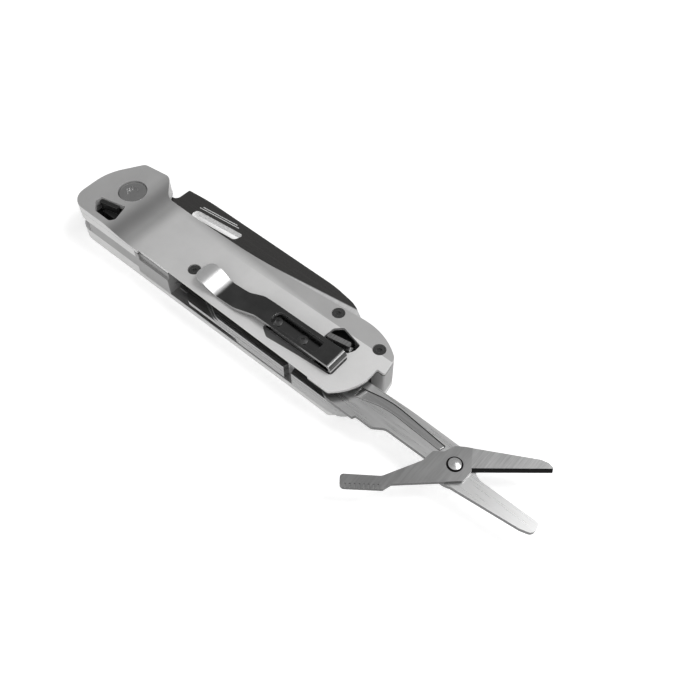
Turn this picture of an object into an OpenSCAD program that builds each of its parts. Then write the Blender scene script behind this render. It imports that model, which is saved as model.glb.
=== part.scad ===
// Pocket multi tool with a folding knife at one end and folding tools at the other.
// x runs along the closed handle, from the knife pivot end to the tool end.
// y runs across the handle, towards the side that the knife opens from.
// z is the thickness, from the far scale's resting face up to the clip side.
// The origin is the middle of the handle on the resting face, level with the knife pivot.

/* [Handle] */
// Overall thickness at the raised head around the knife pivot
head_z = 14.7; // [14.2:0.1:15.2]
// Thickness over the flat part of the clip side scale
flat_z = 12.9; // [12.7:0.1:13.2]
// How far the clip side scale falls along its knife side bevel
bevel_drop = 0.6; // [0.3:0.1:0.8]
// Thickness of the two scale plates over the tool bay
scale_t = 1.9; // [1.7:0.1:1.9]

/* [Knife] */
// Thickness of the knife blade
blade_t = 2.6; // [2.2:0.1:2.7]
// Distance from the knife pivot to the tip of the blade
blade_reach = 86.8; // [84:0.2:87]
// Height of the spine above the pivot line
spine_y = 16.5; // [15.5:0.1:17]
// Depth of the cutting edge below the pivot line
edge_y = 2.2; // [1.5:0.1:2.3]
// Diameter of the knife pivot barrel
pivot_d = 5.0; // [4.5:0.1:5.4]

/* [Folding tools] */
// Diameter of the pin that carries the tools
tool_pin_d = 4.0; // [3.6:0.1:4.4]
// Radius of each tool's tang about the pin
tang_r = 5.9; // [5.5:0.1:5.9]
// How far the tool bodies stand out from the pin line on their opening side
tool_edge = 5.5; // [5.2:0.1:5.6]

/* [Scissors] */
// Length of the scissors from the tool pin to the tip of the fixed blade
scissors_reach = 63.3; // [60:0.1:63.4]
// Distance from the tool pin to the scissors rivet
rivet_reach = 37.8; // [36:0.1:38]
// Diameter of the rivet's domed head
rivet_head_d = 4.0; // [3.8:0.1:4.6]

/* [Pocket clip] */
// Width of the clip strip
clip_w = 6.9; // [6:0.1:7.5]
// Thickness of the clip strip
clip_t = 0.9; // [0.7:0.1:1]
// Height of the clip's upper leaf at its folded end
clip_top = 15.8; // [15.2:0.1:16.2]

/* [Hidden] */

$fn = 64;
// Distance from the pivot end datum to the middle of the handle
mid = 57;
// Radial running clearance of each tool on its pin
run = 0.05;

// Layer heights, from the resting face upwards
far_liner_z = scale_t;
bay_z = far_liner_z + 0.5;
far_knife_liner_z = 4.5;
knife_bay_z = far_knife_liner_z + 0.8;
blade_z = knife_bay_z + 0.2;
near_knife_liner_z = 8.3;
near_spacer_z = near_knife_liner_z + 0.9;
bay_top = 11.4;
near_plate_z = bay_top + 0.5;
seat_z = flat_z - 0.6;

// Tool layers: [lower face, thickness]
phillips_layer = [bay_z + 0.05, 1.5];
opener_layer = [4.05, 1.4];
package_layer = [5.55, 1.1];
awl_layer = [6.75, 1.1];
arm_layer = [7.95, 1.4];
lever_layer = [9.4, 1.2];
spring_z = arm_layer[0] + 0.8;

// Plan positions
pivot = [10.4, 0];
tool_pin = [104.8, -9.3];
rivet = tool_pin + [rivet_reach, 0];
spacer_end = 40.9;
head_end = 27;
wall_y = -12.6;
bay_wall_y = -2.6;
butt_x = 98.5;
knife_liner_end = 98.2;
clear_x0 = 59.5;
scale_screw_at = [[46.7, -8.7], [89.3, 6.9], [106.2, 4.6]];
far_screw_at = [[34, -9], [50, 2.4], [106.2, 4.6]];
front_pin_at = [[30, -8], [38, -8]];
butt_pin_at = [102.8, 6.2];
clip_screw_at = [[78.6, -7.0], [88.2, -7.0]];
stop_pin_at = pivot + [-0.44, -8.39];
spring_pin_at = [66, -3.7];

// Points of a fillet of radius r at corner b between points a and c
function fillet(a, b, c, r, n = 8) =
    let (u = (a - b) / norm(a - b), v = (c - b) / norm(c - b))
    let (half = acos(u * v) / 2, m = b + (u + v) / norm(u + v) * r / sin(half))
    let (s = b + u * r / tan(half) - m, e = b + v * r / tan(half) - m)
    let (a0 = atan2(s.y, s.x), sweep = (atan2(e.y, e.x) - a0 + 540) % 360 - 180)
    [for (i = [0:n]) m + r * [cos(a0 + sweep * i / n), sin(a0 + sweep * i / n)]];

// Outline through corners [x, y, radius]; a corner with no radius stays sharp
function rounded(corners) =
    let (n = len(corners), flat = [for (p = corners) [p.x, p.y]])
    [for (i = [0:n - 1])
        each len(corners[i]) < 3 ? [flat[i]]
            : fillet(flat[(i + n - 1) % n], flat[i], flat[(i + 1) % n], corners[i][2])];

// Left and right sides of a strip of thickness t along a path of points
function side(path, d) = [for (i = [0:len(path) - 1])
    let (a = path[max(i - 1, 0)], b = path[min(i + 1, len(path) - 1)], u = (b - a) / norm(b - a))
    path[i] + d * [-u.y, u.x]];
function ribbon(path, t) =
    let (back = side(path, -t / 2), n = len(path))
    concat(side(path, t / 2), [for (i = [1:n]) back[n - i]]);

// Moves a shape drawn from the pivot end datum so that the handle's middle is the origin
module in_frame() {
    translate([-mid, 0, 0]) children();
}

// A plan shape drawn up from z0 to z1
module layer(z0, z1) {
    translate([0, 0, z0]) linear_extrude(z1 - z0) children();
}

module span(x0, x1, y0 = -40, y1 = 40) {
    translate([x0, y0]) square([x1 - x0, y1 - y0]);
}

module pin_at(p, d, z0, z1) {
    translate([p.x, p.y, z0]) cylinder(d = d, h = z1 - z0);
}

// ---- shared plan shapes ----

module handle_plan() {
    polygon(rounded([
        [-1.7, -15, 5.5], [-1.7, 0.1, 17], [4.8, 10.5, 2.2], [14.6, 11.8, 2.6], [20.1, 5.8, 4.5],
        [54, 6.4, 150], [103.8, 10.6, 20], [111.4, 5, 3], [112.4, -0.85, 0.6],
        [109.9, -0.85, 0.4], [109.9, -9.8, 14], [104.2, -15, 1.2],
    ]));
}

// Where the folding tools lie and swing
module bay_plan() {
    span(spacer_end, 130, -40, bay_wall_y);
    span(108.4, 130, -40, -0.85);
}

// The solid part of the handle on the knife's side of the tool bay
module knife_side_plan(x0, x1) {
    difference() {
        intersection() {
            handle_plan();
            span(x0, x1, wall_y, 40);
        }
        bay_plan();
    }
}

module lock_window_plan() {
    polygon(rounded([
        [4.9, -10.3, 0.7], [5.1, -8.0, 0.6], [13.9, -5.9, 0.6], [15.3, -11.4, 1.2],
        [14.3, -13.1, 0.9], [8.0, -13.1, 0.9],
    ]));
}

module lock_pocket_plan() {
    polygon(rounded([[3.8, -13.2, 1], [3.8, -6, 1], [16.2, -5.4, 1], [16.2, -13.2, 1]]));
}

module tool_window_plan() {
    polygon(rounded([
        [91.6, -2.3, 0.5], [91.9, 1.8, 1.2], [94.0, 3.9, 1.0], [101.4, 2.15, 0.8],
        [101.4, -0.2, 1.0], [100.3, -2.3, 0.5],
    ]));
}

// Strip taken off the clip side along the tools, dying out towards the tool end
module side_relief_plan(x0, inset) {
    translate([97, -15]) rotate(-0.6) span(x0 - 97, 0, -3, inset);
}

// ---- handle ----

// Raised head around the knife pivot, with a flank that falls gently to the flat
module head_form() {
    translate([0, 20, 0]) rotate([90, 0, 0]) linear_extrude(60)
        polygon([[-5, 7], [-5, head_z], [13, head_z], [14.5, head_z - 0.13],
            [21, flat_z + 0.5], [22.5, flat_z + 0.3], [24, flat_z + 0.17], [36, flat_z - 0.42], [36, 7]]);
}

// Space over the flat of the clip side scale and its shallow bevel along the knife side
module above_flat() {
    crease_y = 1.6;
    translate([-10, 0, 0]) rotate([0, 0, 0.9]) rotate([90, 0, 90]) linear_extrude(140)
        polygon([[-30, 20], [-30, flat_z], [crease_y, flat_z],
            [crease_y + 18, flat_z - 2 * bevel_drop], [crease_y + 18, 20]]);
}

module near_scale() {
    color([0.66, 0.66, 0.65]) in_frame() difference() {
        union() {
            layer(near_plate_z, head_z + 1) handle_plan();
            layer(near_spacer_z, near_plate_z) intersection() {
                handle_plan();
                span(-5, head_end);
            }
        }
        difference() {
            above_flat();
            head_form();
        }
        // counterbore and bore for the knife pivot
        pin_at(pivot, 9.2, 13.2, 16);
        pin_at(pivot, pivot_d, 8, 16);
        // window over the knife lock and the pocket under it
        layer(12.6, 16) lock_window_plan();
        layer(8, 12.6) lock_pocket_plan();
        layer(11, 16) tool_window_plan();
        // side set back, and undercut where a fingernail reaches the tools
        layer(near_plate_z - 0.1, 16) side_relief_plan(28.6, 0);
        translate([97, -15, 0]) rotate([0, 0, -0.6]) rotate([90, 0, 90]) translate([0, 0, -55.8])
            linear_extrude(55.8) polygon([
                [-3, flat_z - 0.2], [0, flat_z - 0.2], [1.2, near_plate_z - 0.1], [-3, near_plate_z - 0.1]]);
        // seat of the clip's lower leaf
        layer(seat_z, 14) polygon(rounded([
            [76.2, -10.7, 1], [76.2, -3.2, 1], [101.6, -3.2, 1], [101.6, -10.7, 1],
            [90, -11.6, 6], [79.4, -12.7, 1.5]]));
        for (p = scale_screw_at) {
            pin_at(p, 4.0, near_plate_z + 0.2, 16);
            pin_at(p, 2.0, 11, 16);
        }
        for (p = clip_screw_at) pin_at(p, 1.6, 11, 16);
        pin_at(tool_pin, tool_pin_d, 11, near_plate_z + 0.5);
    }
}

module far_scale() {
    crease_y = 2.5;
    color([0.62, 0.62, 0.61]) in_frame() difference() {
        union() {
            layer(0, far_liner_z) handle_plan();
            layer(far_liner_z, far_knife_liner_z) intersection() {
                handle_plan();
                span(-5, head_end);
            }
        }
        // shallow bevel along the knife side, as on the clip side
        rotate([90, 0, 90]) translate([0, 0, -5]) linear_extrude(130)
            polygon([[crease_y, 0], [crease_y + 20, bevel_drop * 2], [crease_y + 20, -1], [crease_y, -1]]);
        // counterbore and bore for the knife pivot
        pin_at(pivot, 9.2, -2, 1.5);
        pin_at(pivot, pivot_d, 0.8, 8);
        for (p = far_screw_at) {
            pin_at(p, 4.0, -2, 1.2);
            pin_at(p, 2.0, 0.6, 3);
        }
        pin_at(tool_pin, tool_pin_d, 1.0, 3);
        pin_at(spring_pin_at, 1.6, 1.2, 3);
    }
}

module near_liner() {
    color([0.42, 0.42, 0.41]) in_frame() layer(bay_top, near_plate_z) difference() {
        intersection() {
            handle_plan();
            span(head_end, 120);
        }
        tool_window_plan();
        side_relief_plan(28.6, 0);
        side_relief_plan(41.2, 1.2);
        translate(tool_pin) circle(d = tool_pin_d);
        for (p = concat(scale_screw_at, front_pin_at, [butt_pin_at])) translate(p) circle(d = 2.0);
        for (p = clip_screw_at) translate(p) circle(d = 1.6);
    }
}

module far_liner() {
    color([0.42, 0.42, 0.41]) in_frame() layer(far_liner_z, bay_z) difference() {
        intersection() {
            handle_plan();
            span(head_end, 120);
        }
        translate(tool_pin) circle(d = tool_pin_d);
        translate(spring_pin_at) circle(d = 1.6);
        for (p = concat(far_screw_at, front_pin_at, [butt_pin_at])) translate(p) circle(d = 2.0);
    }
}

module near_spacer() {
    color([0.6, 0.6, 0.6]) in_frame() layer(near_spacer_z, bay_top) difference() {
        knife_side_plan(head_end, clear_x0);
        for (p = front_pin_at) translate(p) circle(d = 2.0);
    }
}

module far_spacer() {
    color([0.6, 0.6, 0.6]) in_frame() layer(bay_z, far_knife_liner_z) difference() {
        knife_side_plan(head_end, knife_liner_end);
        for (p = concat(far_screw_at, front_pin_at)) translate(p) circle(d = 2.0);
    }
}

module knife_liner_plan() {
    difference() {
        knife_side_plan(-5, knife_liner_end);
        translate(pivot) circle(d = pivot_d);
        translate(stop_pin_at) circle(d = 2.4);
        for (p = front_pin_at) translate(p) circle(d = 2.0);
    }
}

module near_knife_liner() {
    color([0.45, 0.45, 0.44]) in_frame() layer(near_knife_liner_z, near_spacer_z) difference() {
        knife_liner_plan();
        span(11.5, 15.9, -14, -5.8);
    }
}

module far_knife_liner() {
    color([0.45, 0.45, 0.44]) in_frame() layer(far_knife_liner_z, knife_bay_z) knife_liner_plan();
}

// Side wall in front of the tool bay, with the block that holds the liners apart
module front_spacer() {
    step_z = 8.9;
    color([0.58, 0.58, 0.57]) in_frame() difference() {
        union() {
            layer(far_knife_liner_z, near_spacer_z) intersection() {
                handle_plan();
                span(5.2, head_end, -40, wall_y);
            }
            layer(bay_z, bay_top) intersection() {
                handle_plan();
                span(head_end, spacer_end, -40, wall_y);
            }
            layer(knife_bay_z, near_knife_liner_z) intersection() {
                handle_plan();
                polygon([[24.5, -15], [24.5, -5], [27, -3.2], [spacer_end, -3.2], [spacer_end, -15]]);
            }
        }
        // step along the clip side edge
        layer(step_z, 12) span(head_end + 1.6, 50, -40, -14.2);
        for (p = front_pin_at) pin_at(p, 2.0, 0, 16);
    }
}

module butt_spacer() {
    color([0.64, 0.64, 0.63]) in_frame() layer(bay_z, bay_top) difference() {
        intersection() {
            handle_plan();
            span(butt_x, 120, -0.85, 40);
        }
        // room for the tool lock and its travel
        span(90, 107.9, -4, 0.7);
        span(90, 101.6, -4, 3.2);
        for (p = [scale_screw_at[2], butt_pin_at]) translate(p) circle(d = 2.0);
    }
}

module frame_pins() {
    color([0.5, 0.5, 0.5]) in_frame()
        for (p = concat(front_pin_at, [butt_pin_at])) pin_at(p, 2.0, far_liner_z, near_plate_z);
}

// ---- fasteners ----

// Six-lobed driver recess
module lobed_recess(r, depth) {
    linear_extrude(depth) {
        circle(r = r * 0.86);
        for (a = [0:60:300]) rotate(a) translate([r * 0.8, 0]) circle(r = r * 0.26);
    }
}

// Low domed head of diameter d and rim height h, with a crown of the given rise
module domed_head(d, h, rise) {
    crown_r = (pow(d / 2, 2) + rise * rise) / (2 * rise);
    cylinder(d = d, h = h);
    intersection() {
        translate([0, 0, h + rise - crown_r]) sphere(r = crown_r, $fn = 96);
        cylinder(d = d, h = h + rise);
    }
}

module pivot_screw_near() {
    color([0.5, 0.5, 0.5]) in_frame() translate([pivot.x, pivot.y, 0]) difference() {
        union() {
            translate([0, 0, 13.2]) domed_head(8.6, 1.0, 0.7);
            translate([0, 0, 9]) cylinder(d = 3, h = 4.5);
        }
        translate([0, 0, 13.9]) rotate(18) lobed_recess(1.9, 2);
    }
}

module pivot_screw_far() {
    color([0.5, 0.5, 0.5]) in_frame() translate([pivot.x, pivot.y, 0]) difference() {
        union() {
            translate([0, 0, 0.3]) cylinder(d = 8.6, h = 1.2);
            translate([0, 0, 1.2]) cylinder(d = 3, h = 4.3);
        }
        translate([0, 0, -0.6]) lobed_recess(1.9, 1.5);
    }
}

module pivot_barrel() {
    color([0.55, 0.55, 0.55]) in_frame() translate([pivot.x, pivot.y, 0]) difference() {
        translate([0, 0, 1.5]) cylinder(d = pivot_d, h = 11.7);
        translate([0, 0, 1]) cylinder(d = 3, h = 13);
    }
}

module pivot_washers() {
    color([0.72, 0.55, 0.3]) in_frame()
        for (z = [knife_bay_z + 0.01, blade_z + blade_t + 0.01])
            translate([pivot.x, pivot.y, z]) difference() {
                cylinder(d = 10.5, h = 0.18);
                translate([0, 0, -1]) cylinder(d = pivot_d + 0.1, h = 2);
            }
}

module blade_stop_pin() {
    color([0.5, 0.5, 0.5]) in_frame()
        pin_at(stop_pin_at, 2.4, far_knife_liner_z, near_spacer_z);
}

// Short screws that hold the clip side scale to its liner
module scale_screws_near() {
    color([0.3, 0.3, 0.3]) in_frame() for (p = scale_screw_at) translate([p.x, p.y, 0]) difference() {
        union() {
            translate([0, 0, near_plate_z + 0.2]) cylinder(d = 3.7, h = 0.35);
            translate([0, 0, bay_top]) cylinder(d = 2.0, h = 0.8);
        }
        translate([0, 0, near_plate_z + 0.1]) lobed_recess(0.8, 1);
    }
}

module scale_screws_far() {
    color([0.3, 0.3, 0.3]) in_frame() for (p = far_screw_at) translate([p.x, p.y, 0]) difference() {
        union() {
            translate([0, 0, 0.3]) cylinder(d = 3.7, h = 0.9);
            translate([0, 0, 1.0]) cylinder(d = 2.0, h = far_knife_liner_z - 1.1);
        }
        translate([0, 0, -0.5]) lobed_recess(0.8, 1.3);
    }
}

// ---- locks ----

module blade_lock() {
    color([0.25, 0.25, 0.25]) in_frame() {
        // bar that the thumb pushes
        layer(11.2, 14) polygon(rounded([
            [5.3, -9.5, 0.5], [5.2, -8.1, 0.5], [11.7, -6.6, 0.5], [11.8, -8.0, 0.5]]));
        layer(10, 11.5) span(7.2, 15.2, -10.0, -6.6);
        layer(blade_z, 10.4) polygon(rounded([
            [12.0, -10.6, 0.4], [12.0, -6.5, 0.3], [15.4, -6.5, 0.3], [15.4, -10.6, 0.4]]));
    }
}

// Leaf that returns the knife lock
module blade_lock_spring() {
    color([0.5, 0.5, 0.5]) in_frame() layer(6, 7.6)
        polygon(ribbon([for (i = [0:10]) [11.3 + 0.5 * i, -12.35 + 0.3 * sin(18 * i)]], 0.3));
}

module tool_lock() {
    color([0.35, 0.35, 0.35]) in_frame() {
        // bar that the thumb pushes
        layer(11.55, 13.6) polygon(rounded([
            [92.3, -1.9, 0.5], [92.4, -0.3, 0.5], [99.2, 0.9, 0.5], [100.0, -0.6, 0.5]]));
        // stem down through the window
        layer(9.5, 12.0) span(98.9, 100.2, -0.9, 0.6);
        // bar across the tangs of the tools
        layer(bay_z + 0.1, 9.6) {
            span(100.1, 107.5, -3.2, -1.1);
            span(98.9, 101.2, -1.2, 1.5);
        }
    }
}

module tool_lock_spring() {
    color([0.5, 0.5, 0.5]) in_frame() layer(6, 8)
        polygon(ribbon([for (i = [0:10]) [102.4 + 0.45 * i, 0.5 - 0.25 * sin(18 * i)]], 0.3));
}

// ---- knife ----

module blade_plan() {
    x1 = pivot.x + blade_reach;
    difference() {
        polygon(rounded([
            [pivot.x - 6, -6, 5.9], [pivot.x - 6, 6, 5.9], [11.7, 6, 0.6], [13.2, 11.9, 0.5],
            [14.3, 12.0, 0.4], [15.0, 10.3, 0.2], [18.0, 9.2, 1.9], [18.3, spine_y - 0.9, 0.3],
            [27, spine_y - 0.1, 80], [80, spine_y - 0.2, 40], [88.6, spine_y - 1.5, 12],
            [x1, 10.2], [87.5, 2.6, 26], [72, 0.4 - edge_y, 40], [60, -edge_y, 60],
            [22.4, -edge_y], [20.6, 0.4, 1.2], [17.6, -1.6, 1], [15.4, -6, 3],
        ]));
        // thumb slot
        polygon(rounded([
            [26.0, 8.2, 1.2], [26.6, 11.2, 1.2], [45.2, 13.1, 0.8], [44.0, 9.8, 1.4]]));
    }
}

// Bar with the ground section of the blade along a line at the given plan angle;
// half is a list of [distance below the line, half thickness there]
module ground_bar(start, angle, half) {
    upper = [for (p = half) [-p[0], p[1]]];
    lower = [for (i = [len(half) - 1:-1:0]) [-half[i][0], -half[i][1]]];
    translate([start.x, start.y, blade_z + blade_t / 2])
        rotate([0, 0, angle])
            rotate([90, 0, 90])
                translate([0, 0, -20])
                    linear_extrude(140)
                        polygon(concat(upper, lower));
}

module knife_blade() {
    h = blade_t / 2;
    plunge_x = 21.4;
    color([0.24, 0.24, 0.24]) in_frame() difference() {
        intersection() {
            layer(blade_z, blade_z + blade_t) blade_plan();
            union() {
                layer(blade_z - 1, blade_z + blade_t + 1) span(0, plunge_x);
                intersection() {
                    ground_bar([20, 4.6], 7.9, [[-30, h + 0.5], [-0.4, h + 0.05], [9, 0.42], [19, 0.2]]);
                    ground_bar([20, -edge_y], 0, [[-30, h + 0.5], [-2.4, h], [-1.5, 0.6], [0.6, 0.04]]);
                }
            }
        }
        pin_at(pivot, pivot_d + 2 * run, 0, 20);
        // two fine grooves beside the thumb slot
        for (s = [0, 1]) translate([26.4 + 0.8 * s, 12.4 + 0.8 * s, blade_z + blade_t - 0.15])
            rotate(6.2) cube([15.6 - 2 * s, 0.28, 1]);
    }
}

// ---- folding tools; u runs along the tool from its pin, v towards its opening side ----

// Draws a tool folded into the handle
module folded(z) {
    translate([tool_pin.x, tool_pin.y, z]) rotate(180) children();
}

// Corners of a tool from the heel of its tang round to the notch after its thumb ramp
tang_corners = [
    [4.6, -tang_r, 3], [-tang_r, -tang_r, tang_r - 0.1], [-tang_r, tang_r - 0.2, tang_r - 0.3],
    [14.3, tang_r - 0.2, 0.3], [14.7, 3.4, 0.5], [17.0, 3.4, 0.5], [17.4, tool_edge, 0.3],
];

// A folded tool: a flat of the given outline with the hole for the pin
module tool(at, body) {
    folded(at[0]) difference() {
        linear_extrude(at[1]) polygon(rounded(concat(tang_corners, body)));
        translate([0, 0, -1]) cylinder(d = tool_pin_d + 2 * run, h = at[1] + 2);
    }
}

module phillips_driver() {
    fin_t = 0.9;
    color([0.62, 0.62, 0.61]) in_frame() {
        difference() {
            tool(phillips_layer, [
                [36, tool_edge, 6], [47.6, 2.6, 3], [53.4, 2.6, 0.3], [58.6, 1.5, 0.2],
                [58.6, 0.7, 0.2], [53.4, -0.4, 0.3], [47.6, -0.4, 3], [44, -1.7, 1],
                [29, -1.7, 5], [24, -3.6, 5], [7, -3.6, 2]]);
            // flats that leave the cross fins of the point
            for (v = [-1.2, 1.1 + fin_t / 2]) for (z = [-1, phillips_layer[1] / 2 + 0.25])
                folded(phillips_layer[0] + z) translate([49.2, v - (v < 0 ? 0.55 : 0), 0])
                    cube([12, 2.4, phillips_layer[1] / 2 + 0.75]);
        }
    }
}

module bottle_opener() {
    color([0.6, 0.6, 0.59]) in_frame() difference() {
        tool(opener_layer, [
            [56, tool_edge, 2], [59, 3.1, 1], [62.4, 3.1, 0.2], [62.4, -2.7, 0.2],
            [57.5, -2.7, 1], [54, -4.0, 2], [20, -4.0, 6], [7, -3.6, 2]]);
        // cap hook
        folded(opener_layer[0] - 1) linear_extrude(opener_layer[1] + 2)
            polygon(rounded([[39.5, -6], [38.5, -0.6, 2.2], [46.5, -0.2, 1.2], [45.2, -2.9, 0.6], [48, -6]]));
        // driver tip thinned on one face
        translate([tool_pin.x - 62.6, tool_pin.y, opener_layer[0] + opener_layer[1]])
            rotate([0, 11, 0]) translate([-2, -8, -0.55]) cube([5.5, 16, 3]);
    }
}

module package_opener() {
    color([0.55, 0.55, 0.54]) in_frame() difference() {
        tool(package_layer, [
            [45, tool_edge, 4], [52, 2.2, 0.2], [43, -2.9, 6], [26, -3.4, 12], [7, -3.6, 2]]);
        folded(package_layer[0] - 1) translate([41, -4.4, 0]) cylinder(r = 3.6, h = package_layer[1] + 2);
    }
}

module awl() {
    color([0.55, 0.55, 0.54]) in_frame() difference() {
        tool(awl_layer, [
            [44, tool_edge, 6], [53, 0.6, 0.15], [34, -1.2, 8], [20, -3.4, 8], [7, -3.6, 2]]);
        // sewing eye
        folded(awl_layer[0] - 1) translate([42, 1.6, 0]) cylinder(d = 1.3, h = awl_layer[1] + 2);
    }
}

// Back springs, one leaf behind each of the four flat tools
module tool_springs() {
    color([0.4, 0.4, 0.4]) in_frame() difference() {
        union() {
            for (l = [phillips_layer, opener_layer, package_layer, awl_layer])
                layer(l[0], l[0] + l[1]) polygon(rounded([
                    [63, -4.9, 0.3], [63, -2.75, 0.3], [98.6, -2.75, 0.3], [99.8, -3.2, 0.2],
                    [99.6, -3.75, 0.1], [97, -3.7, 2], [69.5, -4.0, 1], [68.5, -4.9, 0.5]]));
            layer(bay_z + 0.05, awl_layer[0] + awl_layer[1]) span(63.4, 68, -4.8, -2.8);
        }
        pin_at(spring_pin_at, 1.6, 0, 10);
    }
}

module tool_spring_pin() {
    color([0.5, 0.5, 0.5]) in_frame()
        pin_at(spring_pin_at, 1.6, 1.2, awl_layer[0] + awl_layer[1]);
}

module tool_pivot_pin() {
    color([0.5, 0.5, 0.5]) in_frame() pin_at(tool_pin, tool_pin_d, 1.0, near_plate_z + 0.5);
}

// ---- scissors, drawn open and swung out of the handle ----

module scissors_arm() {
    z = arm_layer[0];
    t = arm_layer[1];
    tip_x = tool_pin.x + scissors_reach;
    color([0.68, 0.67, 0.65]) in_frame() difference() {
        layer(z, z + t) {
            translate(tool_pin) circle(r = tang_r);
            translate(rivet) circle(r = 5.9);
            polygon(rounded([
                [tool_pin.x, -15.2, 0.3], [112.9, -15.2, 0.3], [113.4, -14.2, 0.3], [118.8, -14.2, 1.5],
                [122.0, -12.0, 3], [137.5, -12.0, 2], [141.0, -15.0, 1.5], [146.5, -14.5, 3],
                [165.0, -12.6, 3], [tip_x + 0.3, -11.6, 1.6], [tip_x, -8.2, 1.2], [150, -8.2],
                [144.5, -6.0, 1], [141.6, -3.6, 3], [124, -3.3, 100], [104.8, -3.9],
            ]));
        }
        pin_at(tool_pin, tool_pin_d + 2 * run, z - 1, z + t + 1);
        pin_at(rivet, 2.4, z - 1, z + t + 1);
        // groove that the opening spring lies in
        translate([0, 0, spring_z]) linear_extrude(2) spring_plan(0.2);
        // outer face ground down towards the cutting edge
        translate([150, -8.2, z]) rotate([90, 0, 90]) linear_extrude(40)
            polygon([[-2.6, 0], [0.3, 0.75], [0.3, -1], [-2.6, -1]]);
    }
}

// Start of the moving blade's cutting edge from the rivet, and the direction of the edge
edge_from = [4.4, 1.35];
edge_turn = 40.1;

// Moving blade and finger lever in one outline about the rivet
module lever_plan() {
    translate(rivet) polygon(rounded([
        // cutting edge, tip and back of the blade
        [edge_from.x, edge_from.y, 0.3], [20.35, 14.8, 0.2], [19.7, 15.7, 0.3], [18.3, 16.1, 0.8],
        [16.2, 15.6, 3], [-1.0, 5.85, 2],
        // round the rivet and down the back of the lever
        [-3.1, 4.3, 1], [-4.3, 1.2, 0.8], [-6.6, -0.5, 0.8], [-7.0, -4.4, 2], [-12.2, -14.7, 2.5],
        [-20.8, -21.1, 1.0], [-18.4, -24.1, 1.2], [-9.7, -17.4, 0.5], [-9.0, -14.9, 0.6],
        // round the rivet to the start of the cutting edge
        [1.6, -5.0, 2], [4.4, -2.4, 1.5],
    ]));
}

module scissors_lever() {
    z = lever_layer[0];
    t = lever_layer[1];
    color([0.62, 0.61, 0.59]) in_frame() difference() {
        layer(z, z + t) lever_plan();
        pin_at(rivet, 2.4 + 2 * run, z - 1, z + t + 1);
        // steep bevel along the cutting edge
        translate([rivet.x + edge_from.x, rivet.y + edge_from.y, z]) rotate(edge_turn)
            rotate([90, 0, 90]) linear_extrude(30)
                polygon([[0.95, t + 0.1], [-0.1, 0.2], [-1, 0.2], [-1, t + 0.1]]);
        // shallow grind over the face of the blade
        translate([rivet.x + 3.7, rivet.y + 2.2, z + t - 0.1]) rotate(edge_turn - 8)
            translate([0, -5, 0]) cube([24, 14, 1]);
        // finger grooves along the end of the lever
        for (i = [0:7]) translate([rivet.x - 17.3 + 0.95 * i, rivet.y - 23.2 + 0.74 * i, z + t])
            rotate(38) cube([0.4, 2.4, 0.5], center = true);
    }
}

module scissors_rivet() {
    z0 = arm_layer[0];
    z1 = lever_layer[0] + lever_layer[1];
    color([0.7, 0.7, 0.69]) in_frame() translate([rivet.x, rivet.y, 0]) {
        translate([0, 0, z0]) cylinder(d = 2.4, h = z1 - z0 + 0.1);
        translate([0, 0, z1]) domed_head(rivet_head_d, 0.25, 0.45);
    }
}

// Outline of the bent leaf that holds the scissors open, grown by a gap all round
module spring_plan(gap = 0) {
    polygon(rounded([
        [109.2 - gap, -9.84 - gap], [109.2 - gap, -6.56 + gap], [118.5, -4.6 + gap, 30],
        [137.4 + gap, -6.25 + gap, 0.4], [136.8 + gap, -8.05 - gap, 0.5], [118.3, -7.1 - gap, 25],
    ]));
}

module scissors_spring() {
    color([0.7, 0.7, 0.68]) in_frame() layer(spring_z, arm_layer[0] + arm_layer[1]) spring_plan();
}

// ---- pocket clip ----

module clip_plan() {
    w = clip_w / 2;
    c = -7.0;
    shift = -1.5;
    polygon(rounded([
        [49.6, c + shift - w - 0.2, 3.2], [49.6, c + shift + w + 0.5, 3.0], [54.5, c + shift + w + 0.3, 4],
        [60, c + shift + w - 0.2, 6], [66, c + shift + w, 5], [70.5, c + w, 4], [104, c + w],
        [104, c - w], [73, c - w, 5], [66.5, c + shift - w, 8], [55, c + shift - w - 0.2, 8],
    ]));
}

// Points of a smooth step from a to b, both [x, z]
function eased(a, b, n = 10) = [for (i = [0:n])
    [a.x + (b.x - a.x) * i / n, a.y + (b.y - a.y) * (1 - cos(180 * i / n)) / 2]];

// Clip centre line in x and z: seat, fold, long upper leaf, contact bend and lifted end
function clip_path() =
    let (z0 = seat_z + clip_t / 2, z1 = clip_top - clip_t / 2, r = (z1 - z0) / 2, fold_x = 99.7)
    concat(
        [[77.2, z0], [fold_x - 0.2, z0]],
        [for (a = [-90:15:90]) [fold_x + r * cos(a), z0 + r + r * sin(a)]],
        eased([fold_x - 0.4, z1], [78, z1 - 0.4], 6),
        eased([76.5, z1 - 0.43], [60.6, flat_z + clip_t / 2 + 0.1], 14),
        eased([59.6, flat_z + clip_t / 2 + 0.12], [52.6, z1 + 0.1]),
        eased([51.9, z1 + 0.08], [49.2, z1 - 0.6], 5));

module pocket_clip() {
    color([0.3, 0.3, 0.3]) in_frame() difference() {
        intersection() {
            rotate([90, 0, 0]) linear_extrude(40, center = true)
                polygon(ribbon(clip_path(), clip_t));
            layer(12, 18) clip_plan();
        }
        // slot through the upper leaf
        layer(clip_top - 2.2, 18) polygon(rounded([
            [77.4, -9.4, 1.9], [77.4, -4.9, 1.9], [94.6, -4.9, 0.8], [94.6, -9.4, 0.8]]));
        for (p = clip_screw_at) pin_at(p, 1.6, 11, seat_z + 1.2);
    }
}

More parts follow.
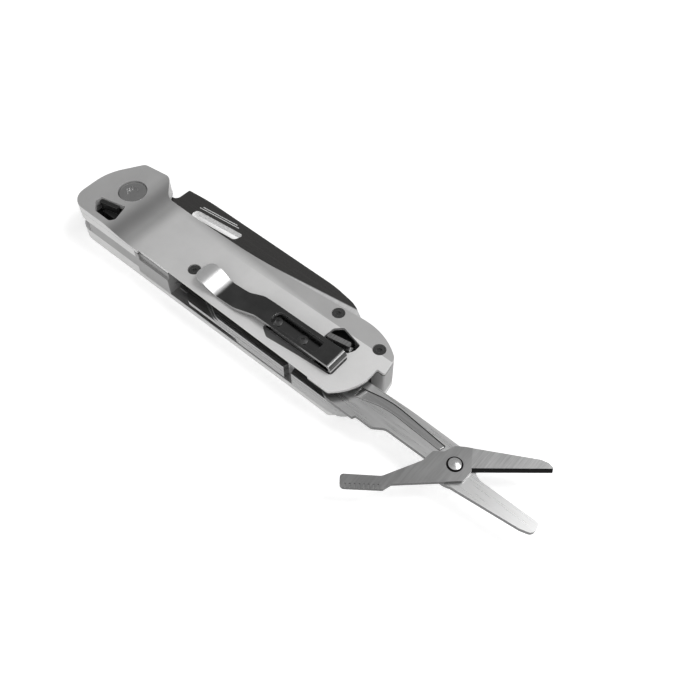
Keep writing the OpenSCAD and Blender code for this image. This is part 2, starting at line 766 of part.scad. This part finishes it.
module clip_screws() {
    color([0.35, 0.35, 0.35]) in_frame() for (p = clip_screw_at) translate([p.x, p.y, 0]) difference() {
        union() {
            translate([0, 0, seat_z + clip_t]) domed_head(3.0, 0.25, 0.25);
            translate([0, 0, bay_top]) cylinder(d = 1.6, h = seat_z + clip_t - bay_top);
        }
        translate([0, 0, seat_z + clip_t + 0.1]) lobed_recess(0.7, 1);
    }
}

near_scale();
far_scale();
near_liner();
far_liner();
near_spacer();
far_spacer();
near_knife_liner();
far_knife_liner();
front_spacer();
butt_spacer();
knife_blade();
pivot_barrel();
pivot_screw_near();
pivot_screw_far();
pivot_washers();
blade_stop_pin();
blade_lock();
blade_lock_spring();
tool_lock();
tool_lock_spring();
scale_screws_near();
scale_screws_far();
frame_pins();
tool_pivot_pin();
tool_springs();
tool_spring_pin();
phillips_driver();
bottle_opener();
package_opener();
awl();
scissors_arm();
scissors_lever();
scissors_rivet();
scissors_spring();
pocket_clip();
clip_screws();
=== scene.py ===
"""Looks of the pocket multi tool: materials, edge rounding, light and camera."""

import math

import bpy
from mathutils import Matrix, Vector


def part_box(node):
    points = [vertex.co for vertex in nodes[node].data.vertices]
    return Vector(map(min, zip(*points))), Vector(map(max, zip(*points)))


MM = 0.001

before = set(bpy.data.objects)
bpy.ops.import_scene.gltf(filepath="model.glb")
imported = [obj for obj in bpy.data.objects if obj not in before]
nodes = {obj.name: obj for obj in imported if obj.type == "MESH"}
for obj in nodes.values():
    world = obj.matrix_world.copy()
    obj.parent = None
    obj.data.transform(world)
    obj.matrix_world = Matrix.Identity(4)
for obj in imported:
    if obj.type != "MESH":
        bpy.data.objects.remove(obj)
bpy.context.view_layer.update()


def middle(name):
    """Centre of a node's box."""
    low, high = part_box(name)
    return (low + high) / 2


# ---- node tree helpers ----

class Shader:
    """Short calls for building one material's node tree."""

    def __init__(self, name):
        self.material = bpy.data.materials.new(name)
        self.material.use_nodes = True
        self.tree = self.material.node_tree
        self.surface = self.tree.nodes["Principled BSDF"]
        self.place = self.add("ShaderNodeTexCoord").outputs["Object"]

    def add(self, kind, inputs=None, **settings):
        node = self.tree.nodes.new(kind)
        for key, value in settings.items():
            setattr(node, key, value)
        for key, value in (inputs or {}).items():
            self.feed(node.inputs[key], value)
        return node

    def feed(self, socket, value):
        if isinstance(value, bpy.types.NodeSocket):
            self.tree.links.new(value, socket)
        else:
            socket.default_value = value

    def set(self, **inputs):
        for key, value in inputs.items():
            self.feed(self.surface.inputs[key.replace("_", " ")], value)

    def stretched(self, scale, turn=0.0):
        """Object coordinates turned about Z and scaled, for grain that runs one way."""
        mapping = self.add("ShaderNodeMapping", {"Vector": self.place})
        mapping.inputs["Rotation"].default_value = (0, 0, turn)
        mapping.inputs["Scale"].default_value = scale
        return mapping.outputs["Vector"]

    def noise(self, scale, detail=4.0, rough=0.6, vector=None):
        node = self.add("ShaderNodeTexNoise", {"Vector": vector or self.place, "Scale": scale,
                                               "Detail": detail, "Roughness": rough})
        return node.outputs["Fac"]

    def math(self, operation, a, b=0.0):
        return self.add("ShaderNodeMath", {0: a, 1: b}, operation=operation).outputs[0]

    def blend(self, share, a, b):
        """The number a where share is 0, b where it is 1."""
        return self.math("ADD", self.math("MULTIPLY", a, self.math("SUBTRACT", 1.0, share)),
                         self.math("MULTIPLY", share, b))

    def ramp(self, value, low, high, out_low=0.0, out_high=1.0, curve="LINEAR"):
        """Carries low..high to out_low..out_high and holds the ends beyond them."""
        limits = {"Value": value, "From Min": low, "From Max": high, "To Min": out_low, "To Max": out_high}
        return self.add("ShaderNodeMapRange", limits, interpolation_type=curve).outputs["Result"]

    def mix(self, share, a, b):
        node = self.add("ShaderNodeMix", data_type="RGBA")
        for socket, value in ((node.inputs["Factor"], share), (node.inputs[6], a), (node.inputs[7], b)):
            if isinstance(value, tuple):
                value = value + (1.0,) * (4 - len(value))
            self.feed(socket, value)
        return node.outputs[2]

    def scaled(self, colour, factor):
        """A colour times a single number."""
        node = self.add("ShaderNodeVectorMath", {0: colour, "Scale": factor}, operation="SCALE")
        return node.outputs["Vector"]

    def bump(self, height, distance, strength):
        node = self.add("ShaderNodeBump", {"Height": height, "Distance": distance, "Strength": strength})
        return node.outputs["Normal"]

    def axis(self, letter):
        """One object coordinate, in metres."""
        return self.add("ShaderNodeSeparateXYZ", {"Vector": self.place}).outputs[letter]

    def to_object(self, normal):
        """A world normal in the object's own directions, so that it stays put as the object moves."""
        return self.add("ShaderNodeVectorTransform", {"Vector": normal}, vector_type="NORMAL",
                        convert_from="WORLD", convert_to="OBJECT").outputs["Vector"]

    def facing_up(self):
        """1 where a surface faces +Z, 0 on upright walls, -1 underneath."""
        normal = self.add("ShaderNodeNewGeometry").outputs["True Normal"]
        return self.add("ShaderNodeSeparateXYZ", {"Vector": self.to_object(normal)}).outputs["Z"]

    def distance_xy(self, centre):
        """Distance in plan from the upright line through centre."""
        dx = self.math("SUBTRACT", self.axis("X"), centre.x)
        dy = self.math("SUBTRACT", self.axis("Y"), centre.y)
        squares = self.math("ADD", self.math("MULTIPLY", dx, dx), self.math("MULTIPLY", dy, dy))
        return self.math("SQRT", squares)

    def edge_wear(self, radius):
        """0 on flats, rising towards 1 along edges within radius."""
        bevel = self.add("ShaderNodeBevel", {"Radius": radius}, samples=6)
        geometry = self.add("ShaderNodeNewGeometry")
        dot = self.add("ShaderNodeVectorMath", {0: bevel.outputs["Normal"], 1: geometry.outputs["Normal"]},
                       operation="DOT_PRODUCT")
        return self.ramp(dot.outputs["Value"], 0.995, 0.8)


# ---- materials ----

def grey(value, warmth=0.0):
    """A grey that leans to red and away from blue as warmth grows."""
    return (value * (1 + warmth), value, value * (1 - warmth))


# Painted shade, as shares of the blasted finish's base tone: on the head's crown, on the
# slope beside it, on the flat next to the slope and on walls, with what a bevel takes off
CROWN_SHADE = 0.60
SLOPE_SHADE = 0.28
NEAR_FLAT_SHADE = 0.82
WALL_SHADE = 0.70
BEVEL_DROP = 0.42


def head_shade(s, bevelled, pivot_x):
    """Painted shade on the scale with the raised head, as a share of the base tone by distance
    past the pivot. Only bevels clear of the head get further painted shade."""
    along = s.math("SUBTRACT", s.axis("X"), pivot_x)
    crown = s.ramp(along, 1.5 * MM, 8.0 * MM, CROWN_SHADE, SLOPE_SHADE, "SMOOTHSTEP")
    foot = s.ramp(along, 8.0 * MM, 19.0 * MM, 0.0, NEAR_FLAT_SHADE - SLOPE_SHADE, "SMOOTHSTEP")
    flat = s.ramp(along, 20.0 * MM, 60.0 * MM, 0.0, 1.0 - NEAR_FLAT_SHADE)
    level = s.math("ADD", crown, s.math("ADD", foot, flat))
    clear = s.math("MULTIPLY", bevelled, s.ramp(along, 12.0 * MM, 22.0 * MM))
    return s.math("SUBTRACT", level, s.math("MULTIPLY", clear, BEVEL_DROP))


def bead_blasted(name, base, seat_z=None, pivot_x=None):
    """Bead blasted aluminium: fine sparkle, slight cloudiness, brighter worn edges.
    Bevels and walls carry painted shade, darker than the wide flats. A face milled at
    the height seat_z is drawn much darker. With pivot_x given, painted shade makes the
    head around the pivot darker than the flat and darkest on the slope between them."""
    s = Shader(name)
    cloud = s.noise(90.0, 3.0)
    speck = s.noise(5200.0, 2.0, 0.7)
    tone = s.mix(s.ramp(cloud, 0.35, 0.65), grey(base * 0.96, 0.004), grey(base * 1.03, 0.004))
    tone = s.mix(s.ramp(speck, 0.55, 0.72, 0.0, 0.35), tone, grey(min(base * 1.3, 0.95)))
    tone = s.mix(s.ramp(speck, 0.42, 0.28, 0.0, 0.30), tone, grey(base * 0.75))
    # Painted shade: bevels and walls darker than the wide flats, and with pivot_x the head darker by distance
    # from the pivot
    smooth = s.add("ShaderNodeNewGeometry").outputs["Normal"]
    level = s.math("ABSOLUTE", s.add("ShaderNodeSeparateXYZ", {"Vector": s.to_object(smooth)}).outputs["Z"])
    bevelled = s.ramp(level, 0.9995, 0.9975)
    if pivot_x is None:
        shade = s.math("SUBTRACT", 1.0, s.math("MULTIPLY", bevelled, BEVEL_DROP))
    else:
        shade = head_shade(s, bevelled, pivot_x)
    tone = s.scaled(tone, s.blend(s.ramp(level, 0.8, 0.5), shade, WALL_SHADE))
    if seat_z is not None:
        away = s.math("ABSOLUTE", s.math("SUBTRACT", s.axis("Z"), seat_z))
        tone = s.mix(s.ramp(away, 0.06 * MM, 0.03 * MM), tone, grey(base * 0.2))
    wear = s.math("MULTIPLY", s.edge_wear(0.2 * MM), s.ramp(cloud, 0.3, 0.7, 0.25, 0.6))
    tone = s.mix(wear, tone, grey(min(base * 1.5, 0.95)))
    s.set(Base_Color=tone, Metallic=0.45, Roughness=s.ramp(speck, 0.3, 0.7, 0.46, 0.62),
          Normal=s.bump(speck, 0.02 * MM, 0.5))
    return s.material


def brushed_tone(s, base, lines, grain, turn):
    """Brush lines and cloudiness of a steel face, with the streak pattern itself."""
    streak = s.noise(1.0, 6.0, 0.65, s.stretched(grain, turn))
    cloud = s.noise(140.0, 3.0)
    tone = s.mix(s.ramp(streak, 0.3, 0.7), grey(base * (1 - lines)), grey(min(base * (1 + lines), 0.98)))
    return s.mix(s.ramp(cloud, 0.35, 0.7, 0.0, 0.2), tone, grey(base * 0.85, 0.01)), streak


def satin_steel(name, base, rough=0.3, grain=(60.0, 2600.0, 900.0), turn=0.0, lines=0.12, dark_sides=False):
    """Steel with brush lines along one direction of the row frame. With the sides flag set,
    the piece's upright sides are drawn near black."""
    s = Shader(name)
    tone, streak = brushed_tone(s, base, lines, grain, turn)
    if dark_sides:
        side = s.ramp(s.math("ABSOLUTE", s.facing_up()), 0.5, 0.2)
        tone = s.mix(s.math("MULTIPLY", side, 0.85), tone, grey(0.04))
    tone = s.mix(s.math("MULTIPLY", s.edge_wear(0.12 * MM), 0.4), tone, grey(min(base * 1.5, 0.97)))
    s.set(Base_Color=tone, Metallic=0.95, Roughness=s.ramp(streak, 0.3, 0.7, rough * 0.8, rough * 1.25),
          Normal=s.bump(streak, 0.01 * MM, 0.35))
    return s.material


rivet_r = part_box("scissors_rivet")[1].x - middle("scissors_rivet").x


def moving_blade_steel(name, base, turn):
    """Scissors lever: ground blade face with cross lines, painted shade on the bevel and in a dark ring at
    the rivet.
    """
    s = Shader(name)
    top_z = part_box("scissors_lever")[1].z
    tone, streak = brushed_tone(s, base, 0.1, (2600.0, 120.0, 900.0), turn)
    face = s.math("MULTIPLY", s.ramp(s.axis("Z"), top_z - 0.04 * MM, top_z - 0.07 * MM),
                  s.ramp(s.facing_up(), 0.9, 0.99))
    lines = s.noise(1.0, 6.0, 0.7, s.stretched((3200.0, 110.0, 900.0), turn))
    ground = s.mix(s.ramp(lines, 0.3, 0.7), grey(base * 0.9), grey(min(base * 1.5, 0.95)))
    tone = s.mix(face, tone, ground)
    # Painted shade: the bevel faces near black
    bevel = s.math("MULTIPLY", s.ramp(s.facing_up(), 0.45, 0.55), s.ramp(s.facing_up(), 0.92, 0.82))
    tone = s.mix(bevel, tone, grey(0.012))
    side = s.ramp(s.math("ABSOLUTE", s.facing_up()), 0.4, 0.2)
    tone = s.mix(s.math("MULTIPLY", side, 0.85), tone, grey(0.04))
    # Painted shade: a dark ring in the gap around the rivet head
    ring = s.ramp(s.distance_xy(middle("scissors_rivet")), rivet_r + 0.28 * MM, rivet_r + 0.20 * MM)
    tone = s.mix(ring, tone, grey(0.01))
    shade = s.math("SUBTRACT", 1.0, s.math("MAXIMUM", bevel, ring))
    s.set(Base_Color=tone, Metallic=0.95, Roughness=s.ramp(streak, 0.3, 0.7, 0.28, 0.42),
          Specular_IOR_Level=s.math("MULTIPLY", shade, 0.5),
          Normal=s.bump(s.mix(face, streak, lines), 0.01 * MM, 0.35))
    return s.material


def rivet_steel(name):
    """Polished rivet dome with painted shade in a dark ring around its rim."""
    s = Shader(name)
    fine = s.noise(900.0, 3.0)
    tone = s.mix(s.ramp(fine, 0.35, 0.7), grey(0.72), grey(0.82))
    # Painted shade in the gap at the dome's rim, dark and without shine
    rim = s.ramp(s.distance_xy(middle("scissors_rivet")), 0.84 * rivet_r, 0.90 * rivet_r)
    s.set(Base_Color=s.mix(rim, tone, grey(0.012)), Metallic=0.95,
          Roughness=s.ramp(fine, 0.3, 0.7, 0.2, 0.28),
          Specular_IOR_Level=s.ramp(rim, 0.0, 1.0, 0.5, 0.0), Normal=s.bump(fine, 0.004 * MM, 0.2))
    return s.material


def dark_blade(name):
    """Dark satin flat; everything ground below the flat is bright steel with cross brush lines.
    Upright sides carry painted light, near white.
    """
    s = Shader(name)
    middle_z = middle("knife_blade").z
    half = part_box("knife_blade")[1].z - middle_z
    from_middle = s.math("ABSOLUTE", s.math("SUBTRACT", s.axis("Z"), middle_z))
    ground = s.math("MULTIPLY", s.ramp(from_middle, half - 0.02 * MM, half - 0.06 * MM),
                    s.ramp(s.math("ABSOLUTE", s.facing_up()), 0.6, 0.9))
    streak = s.noise(1.0, 5.0, 0.6, s.stretched((2600.0, 120.0, 400.0)))
    fine = s.noise(3800.0, 2.0)
    long_line = s.noise(1.0, 5.0, 0.6, s.stretched((60.0, 2400.0, 400.0), 0.14))
    flat_tone = s.mix(s.ramp(fine, 0.35, 0.7), grey(0.085, 0.02), grey(0.115, 0.02))
    flat_tone = s.mix(s.ramp(long_line, 0.5, 0.75, 0.0, 0.5), flat_tone, grey(0.14, 0.02))
    # Painted light: upright sides near white and less metallic
    side = s.ramp(s.math("ABSOLUTE", s.facing_up()), 0.4, 0.2)
    flat_tone = s.mix(side, flat_tone, grey(0.97))
    ground_tone = s.mix(s.ramp(streak, 0.3, 0.7), grey(0.72), grey(0.92))
    wear = s.math("MULTIPLY", s.edge_wear(0.12 * MM), 0.55)
    tone = s.mix(wear, s.mix(ground, flat_tone, ground_tone), grey(0.8))
    painted_light_and_ground = s.math("MAXIMUM", s.math("MULTIPLY", side, 0.9), s.math("MULTIPLY", ground, 0.55))
    s.set(Base_Color=tone, Metallic=s.math("SUBTRACT", 0.9, painted_light_and_ground),
          Roughness=s.mix(ground, grey(0.36), grey(0.22)),
          Normal=s.bump(s.mix(ground, fine, streak), 0.01 * MM, 0.3))
    return s.material


def dark_chrome(name, base, bend_x):
    """Polished dark chrome with faint long scratches and smudges. The lifted end, short
    of bend_x, carries a painted reflection, near white."""
    s = Shader(name)
    scratch = s.noise(1.0, 5.0, 0.7, s.stretched((90.0, 1900.0, 500.0), 0.1))
    smudge = s.noise(160.0, 4.0)
    tone = s.mix(s.ramp(smudge, 0.35, 0.7), grey(base * 0.85), grey(base * 1.15))
    # Painted reflection on the lifted end, with a smudged edge
    uneven_x = s.math("ADD", s.axis("X"), s.math("MULTIPLY", smudge, 0.8 * MM))
    painted_reflection = s.ramp(uneven_x, bend_x + 0.9 * MM, bend_x)
    tone = s.mix(painted_reflection, tone, grey(0.90))
    side = s.ramp(s.math("ABSOLUTE", s.facing_up()), 0.35, 0.1)
    tone = s.mix(side, tone, grey(0.5))
    wear = s.edge_wear(0.15 * MM)
    tone = s.mix(s.math("MULTIPLY", wear, 0.5), tone, grey(0.75))
    rough = s.math("ADD", s.ramp(scratch, 0.35, 0.75, 0.16, 0.24), s.ramp(painted_reflection, 0.0, 1.0, 0.0, 0.14))
    s.set(Base_Color=tone, Metallic=1.0, Roughness=rough, Normal=s.bump(scratch, 0.004 * MM, 0.2))
    return s.material


def black_oxide(name, base, worn=0.42):
    """Black finish with worn edges."""
    s = Shader(name)
    fine = s.noise(2600.0, 3.0)
    tone = s.mix(s.ramp(fine, 0.35, 0.7), grey(base * 0.8), grey(base * 1.3))
    wear = s.edge_wear(0.12 * MM)
    tone = s.mix(s.math("MULTIPLY", wear, 0.6), tone, grey(worn))
    s.set(Base_Color=tone, Metallic=0.6, Roughness=s.ramp(fine, 0.3, 0.7, 0.30, 0.45),
          Normal=s.bump(fine, 0.01 * MM, 0.3))
    return s.material


def bronze(name):
    """Bare bronze, slightly mottled."""
    s = Shader(name)
    fine = s.noise(1500.0, 3.0)
    tone = s.mix(s.ramp(fine, 0.35, 0.7), (0.50, 0.33, 0.15), (0.66, 0.45, 0.22))
    s.set(Base_Color=tone, Metallic=1.0, Roughness=0.38, Normal=s.bump(fine, 0.01 * MM, 0.3))
    return s.material


SCALE_TONE = 0.78
CLIP_LIFTED_LENGTH = 9.6 * MM
clip_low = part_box("pocket_clip")[0]
near_scale_mat = bead_blasted("near_scale_bead_blasted", SCALE_TONE, clip_low.z, middle("pivot_screw_near").x)
scale_mat = bead_blasted("scale_bead_blasted", SCALE_TONE)
liner_mat = satin_steel("liner_satin", 0.45, 0.36)
# Near liners drawn near black as painted shade in the pockets behind the windows
painted_shade_liner_mat = black_oxide("liner_painted_shade", 0.03, 0.2)
spacer_mat = bead_blasted("spacer_tumbled", 0.42)
blade_mat = dark_blade("blade_dark_satin")
tool_mat = satin_steel("tool_satin", 0.38, 0.3)
scissors_mat = satin_steel("scissors_satin", 0.70, 0.3, (60.0, 1500.0, 900.0), 0.05, 0.05, dark_sides=True)
lever_mat = moving_blade_steel("lever_satin", 0.36, math.radians(32))
spring_mat = satin_steel("spring_polished", 0.55, 0.2)
pivot_mat = satin_steel("pivot_satin", 0.42, 0.12, (700.0, 700.0, 700.0), lines=0.05)
rivet_mat = rivet_steel("rivet_polished")
clip_mat = dark_chrome("clip_dark_chrome", 0.11, clip_low.x + CLIP_LIFTED_LENGTH)
blade_lock_mat = black_oxide("blade_lock_black", 0.035)
tool_lock_mat = satin_steel("tool_lock_satin", 0.36, 0.3, (2600.0, 90.0, 900.0), 0.2, 0.25)
screw_mat = black_oxide("screw_black", 0.07, 0.35)
washer_mat = bronze("washer_bronze")


# ---- CAD nodes: finish, edge radius in mm, and the fold angles in degrees that stay crisp ----

class Finish:
    """How one CAD node is dressed."""

    def __init__(self, material, edge=0.05, crisp=None):
        self.material, self.edge, self.crisp = material, edge, crisp


FINISHES = {
    "near_scale": Finish(near_scale_mat, 0.25, (3.4, 4.3)), "far_scale": Finish(scale_mat, 0.25, (3.4, 4.3)),
    "near_liner": Finish(painted_shade_liner_mat), "far_liner": Finish(liner_mat),
    "near_knife_liner": Finish(painted_shade_liner_mat), "far_knife_liner": Finish(liner_mat),
    "near_spacer": Finish(spacer_mat, 0.1), "far_spacer": Finish(spacer_mat, 0.1),
    "front_spacer": Finish(spacer_mat, 0.15), "butt_spacer": Finish(spacer_mat, 0.15),
    "knife_blade": Finish(blade_mat, 0.05, (2.0, 30.0)),
    "pivot_screw_near": Finish(pivot_mat, 0.08), "pivot_screw_far": Finish(pivot_mat, 0.08),
    "pivot_barrel": Finish(pivot_mat, 0), "pivot_washers": Finish(washer_mat, 0),
    "blade_stop_pin": Finish(pivot_mat, 0.1), "frame_pins": Finish(pivot_mat, 0),
    "tool_pivot_pin": Finish(pivot_mat, 0), "tool_spring_pin": Finish(pivot_mat, 0),
    "blade_lock": Finish(blade_lock_mat, 0.2), "tool_lock": Finish(tool_lock_mat, 0.25),
    "blade_lock_spring": Finish(spring_mat, 0), "tool_lock_spring": Finish(spring_mat, 0),
    "tool_springs": Finish(spring_mat), "scissors_spring": Finish(spring_mat, 0.2),
    "scale_screws_near": Finish(screw_mat, 0), "scale_screws_far": Finish(screw_mat, 0.06),
    "clip_screws": Finish(screw_mat),
    "phillips_driver": Finish(tool_mat, 0.08), "bottle_opener": Finish(tool_mat, 0.1),
    "package_opener": Finish(tool_mat), "awl": Finish(tool_mat),
    "scissors_arm": Finish(scissors_mat, 0.08), "scissors_lever": Finish(lever_mat, 0.1, (8.0, 30.0)),
    "scissors_rivet": Finish(rivet_mat, 0.06),
    "pocket_clip": Finish(clip_mat, 0.15),
}


def smooth_by_angle(crisp):
    """Geometry nodes that shade smooth across folds under 30 degrees, apart from those
    whose angle is inside the crisp range."""
    group = bpy.data.node_groups.new("smooth_by_angle", "GeometryNodeTree")
    group.interface.new_socket("Geometry", in_out="INPUT", socket_type="NodeSocketGeometry")
    group.interface.new_socket("Geometry", in_out="OUTPUT", socket_type="NodeSocketGeometry")
    add, link = group.nodes.new, group.links.new

    def under(limit_degrees):
        node = add("FunctionNodeCompare")
        node.operation = "LESS_THAN"
        link(angle.outputs["Unsigned Angle"], node.inputs["A"])
        node.inputs["B"].default_value = math.radians(limit_degrees)
        return node.outputs["Result"]

    def combine(operation, a, b):
        node = add("FunctionNodeBooleanMath")
        node.operation = operation
        link(a, node.inputs[0])
        link(b, node.inputs[1])
        return node.outputs[0]

    angle = add("GeometryNodeInputMeshEdgeAngle")
    soft = under(30.0)
    if crisp:
        soft = combine("NIMPLY", soft, combine("NIMPLY", under(crisp[1]), under(crisp[0])))
    drop = add("GeometryNodeRemoveAttribute")
    drop.inputs["Name"].default_value = "custom_normal"
    faces = add("GeometryNodeSetShadeSmooth")
    edges = add("GeometryNodeSetShadeSmooth")
    edges.domain = "EDGE"
    link(soft, edges.inputs["Shade Smooth"])
    link(add("NodeGroupInput").outputs[0], drop.inputs["Geometry"])
    link(drop.outputs["Geometry"], faces.inputs["Geometry"])
    link(faces.outputs["Geometry"], edges.inputs["Geometry"])
    link(edges.outputs["Geometry"], add("NodeGroupOutput").inputs[0])
    return group


def dress(name, finish):
    """Gives a CAD node its material, joined faces, rounded edges and smooth shading."""
    piece = nodes[name]
    piece.data.materials.clear()
    piece.data.materials.append(finish.material)
    weld = piece.modifiers.new("join_faces", "WELD")
    weld.merge_threshold = 0.002 * MM
    flats = piece.modifiers.new("merge_flats", "DECIMATE")
    flats.decimate_type = "DISSOLVE"
    flats.angle_limit = math.radians(0.3)
    shade = piece.modifiers.new("smooth", "NODES")
    shade.node_group = smooth_by_angle(finish.crisp)
    if finish.edge:
        bevel = piece.modifiers.new("round_edges", "BEVEL")
        bevel.width = finish.edge * MM
        bevel.segments = 2
        bevel.limit_method = "ANGLE"
        bevel.angle_limit = math.radians(38)
        bevel.use_clamp_overlap = True
        bevel.harden_normals = True
        bevel.miter_outer = "MITER_ARC"


for node_name, finish in FINISHES.items():
    dress(node_name, finish)


# ---- camera ----

FOCAL_MM = 44.88
SENSOR_MM = 36.0
CAMERA_AT = Vector((130.25, -105.60, 211.94)) * MM
CAMERA_RIGHT = Vector((0.76275662, 0.64665263, 0.0065354))
CAMERA_UP = Vector((-0.53650936, 0.6271306, 0.56468125))
CAMERA_BACK = Vector((0.36105407, -0.43422066, 0.82528321))


def make_camera():
    data = bpy.data.cameras.new("camera")
    data.lens = FOCAL_MM
    data.sensor_width = SENSOR_MM
    data.clip_start = 0.01
    camera = bpy.data.objects.new("camera", data)
    turn = Matrix((CAMERA_RIGHT, CAMERA_UP, CAMERA_BACK)).transposed().to_4x4()
    camera.matrix_world = Matrix.Translation(CAMERA_AT) @ turn
    bpy.context.scene.collection.objects.link(camera)
    bpy.context.scene.camera = camera


# ---- floor and light ----

FLOOR_HALF = 3.0
FLOOR_GAP = 0.05 * MM
# Direction from which the room is brightest, and the room's strength away from it and in it
BRIGHT_SIDE = (0.60, -0.70, -0.39)
ROOM_DARK = 0.33
ROOM_BRIGHT = 1.2


def make_floor():
    """Pale sweep, lit a little from inside like a light table."""
    s = Shader("floor_pale")
    tone = s.mix(s.ramp(s.noise(8.0, 2.0), 0.3, 0.7), grey(0.93), grey(0.95))
    s.set(Base_Color=tone, Roughness=0.9, Emission_Color=tone, Emission_Strength=0.4)
    data = bpy.data.meshes.new("floor")
    corners = ((-1, -1), (1, -1), (1, 1), (-1, 1))
    data.from_pydata([(FLOOR_HALF * x, FLOOR_HALF * y, 0) for x, y in corners], [], [(0, 1, 2, 3)])
    floor = bpy.data.objects.new("floor", data)
    floor.location.z = -FLOOR_GAP
    floor.data.materials.append(s.material)
    bpy.context.scene.collection.objects.link(floor)


def area_light(name, at, size, power):
    """Soft box at a place, facing the middle of the frame."""
    data = bpy.data.lights.new(name, "AREA")
    data.shape = "RECTANGLE"
    data.size, data.size_y = size
    data.energy = power
    light = bpy.data.objects.new(name, data)
    light.location = at
    light.rotation_mode = "QUATERNION"
    light.rotation_quaternion = Vector(at).to_track_quat("Z", "Y")
    bpy.context.scene.collection.objects.link(light)


def make_world():
    """Studio room: bright towards the camera's side and low down, darker overhead and behind."""
    world = bpy.data.worlds.new("studio")
    world.use_nodes = True
    tree = world.node_tree
    background = tree.nodes["Background"]
    background.inputs["Color"].default_value = (1, 1, 1, 1)
    place = tree.nodes.new("ShaderNodeTexCoord")
    toward = tree.nodes.new("ShaderNodeVectorMath")
    toward.operation = "DOT_PRODUCT"
    toward.inputs[1].default_value = BRIGHT_SIDE
    spread = tree.nodes.new("ShaderNodeMapRange")
    spread.interpolation_type = "SMOOTHSTEP"
    for key, value in (("From Min", -0.6), ("From Max", 0.7), ("To Min", ROOM_DARK), ("To Max", ROOM_BRIGHT)):
        spread.inputs[key].default_value = value
    tree.links.new(place.outputs["Generated"], toward.inputs[0])
    tree.links.new(toward.outputs["Value"], spread.inputs["Value"])
    tree.links.new(spread.outputs["Result"], background.inputs["Strength"])
    bpy.context.scene.world = world


def make_light():
    """Room plus two soft boxes: a weak one behind and a strong one to the right."""
    make_world()
    area_light("softbox_back", (0.16, 0.40, 0.80), (0.26, 0.30), 0.6)
    area_light("softbox_right", (0.44, 0.28, 0.80), (0.30, 0.34), 2.8)
    bpy.context.scene.view_settings.view_transform = "Standard"


make_camera()
make_floor()
make_light()
